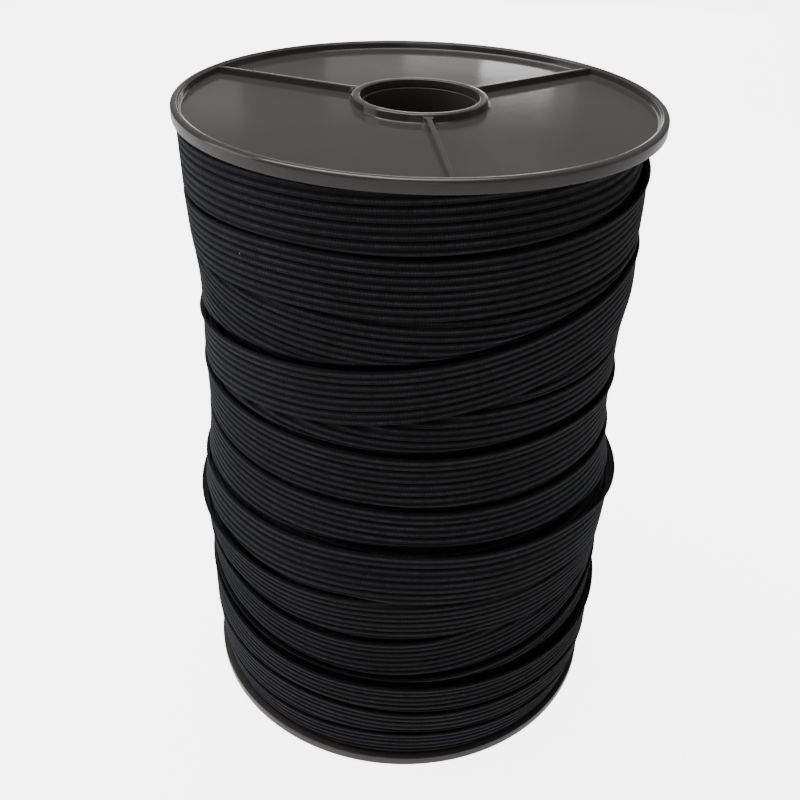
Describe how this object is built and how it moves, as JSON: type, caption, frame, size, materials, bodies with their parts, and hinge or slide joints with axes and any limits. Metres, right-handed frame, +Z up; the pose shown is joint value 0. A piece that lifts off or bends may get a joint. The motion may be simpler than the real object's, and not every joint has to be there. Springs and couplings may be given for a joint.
{
  "type": "reel of elastic",
  "caption": "Tall roll of ribbed black elastic tape, wound in overlapping laps on a reel with two round rimmed flanges and an open centre bore.",
  "frame": {"origin": "middle of the face that the reel stands on, on the bore's axis", "axes": "+Z up along the reel's axis, -Y towards the side that the picture shows, +X to the picture's right"},
  "size_m": [0.2085, 0.2054, 0.296],
  "materials": {
    "reel_plastic": "dark grey moulded plastic with a soft sheen",
    "elastic_black": "black ribbed woven elastic, matt with a faint sheen on the ribs"
  },
  "bodies": {
    "root": {"top_flange": "reel_plastic", "bottom_flange": "reel_plastic", "core_tube": "reel_plastic", "wound_elastic": "elastic_black"}
  },
  "joints": []
}
